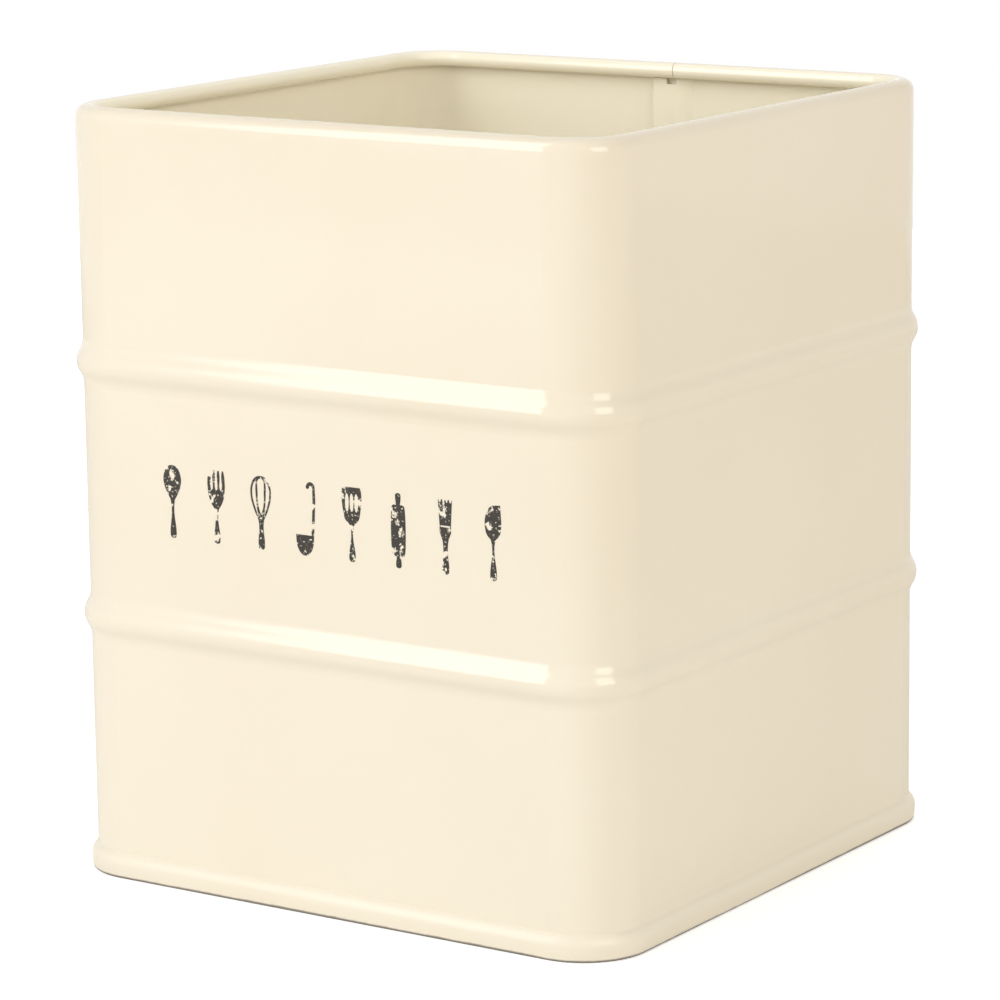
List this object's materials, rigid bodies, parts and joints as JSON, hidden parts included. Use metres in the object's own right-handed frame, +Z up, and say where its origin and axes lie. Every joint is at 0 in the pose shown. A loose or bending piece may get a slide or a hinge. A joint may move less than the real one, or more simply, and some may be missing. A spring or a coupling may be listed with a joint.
{
  "type": "utensil holder",
  "caption": "Open-topped square utensil holder of enamelled sheet steel, with rounded corners, raised beads, a rolled rim, a rear lock seam and a seamed-on base.",
  "frame": {"origin": "middle of the footprint, on the table", "axes": "+Z up through the open mouth, the front faces -Y, and the side seam is at the middle of the rear wall, +Y"},
  "size_m": [0.1256, 0.1256, 0.1495],
  "materials": {
    "cream_enamel": "satin"
  },
  "bodies": {
    "root": {"body_wall": "cream_enamel", "base_pan": "cream_enamel"}
  },
  "joints": []
}
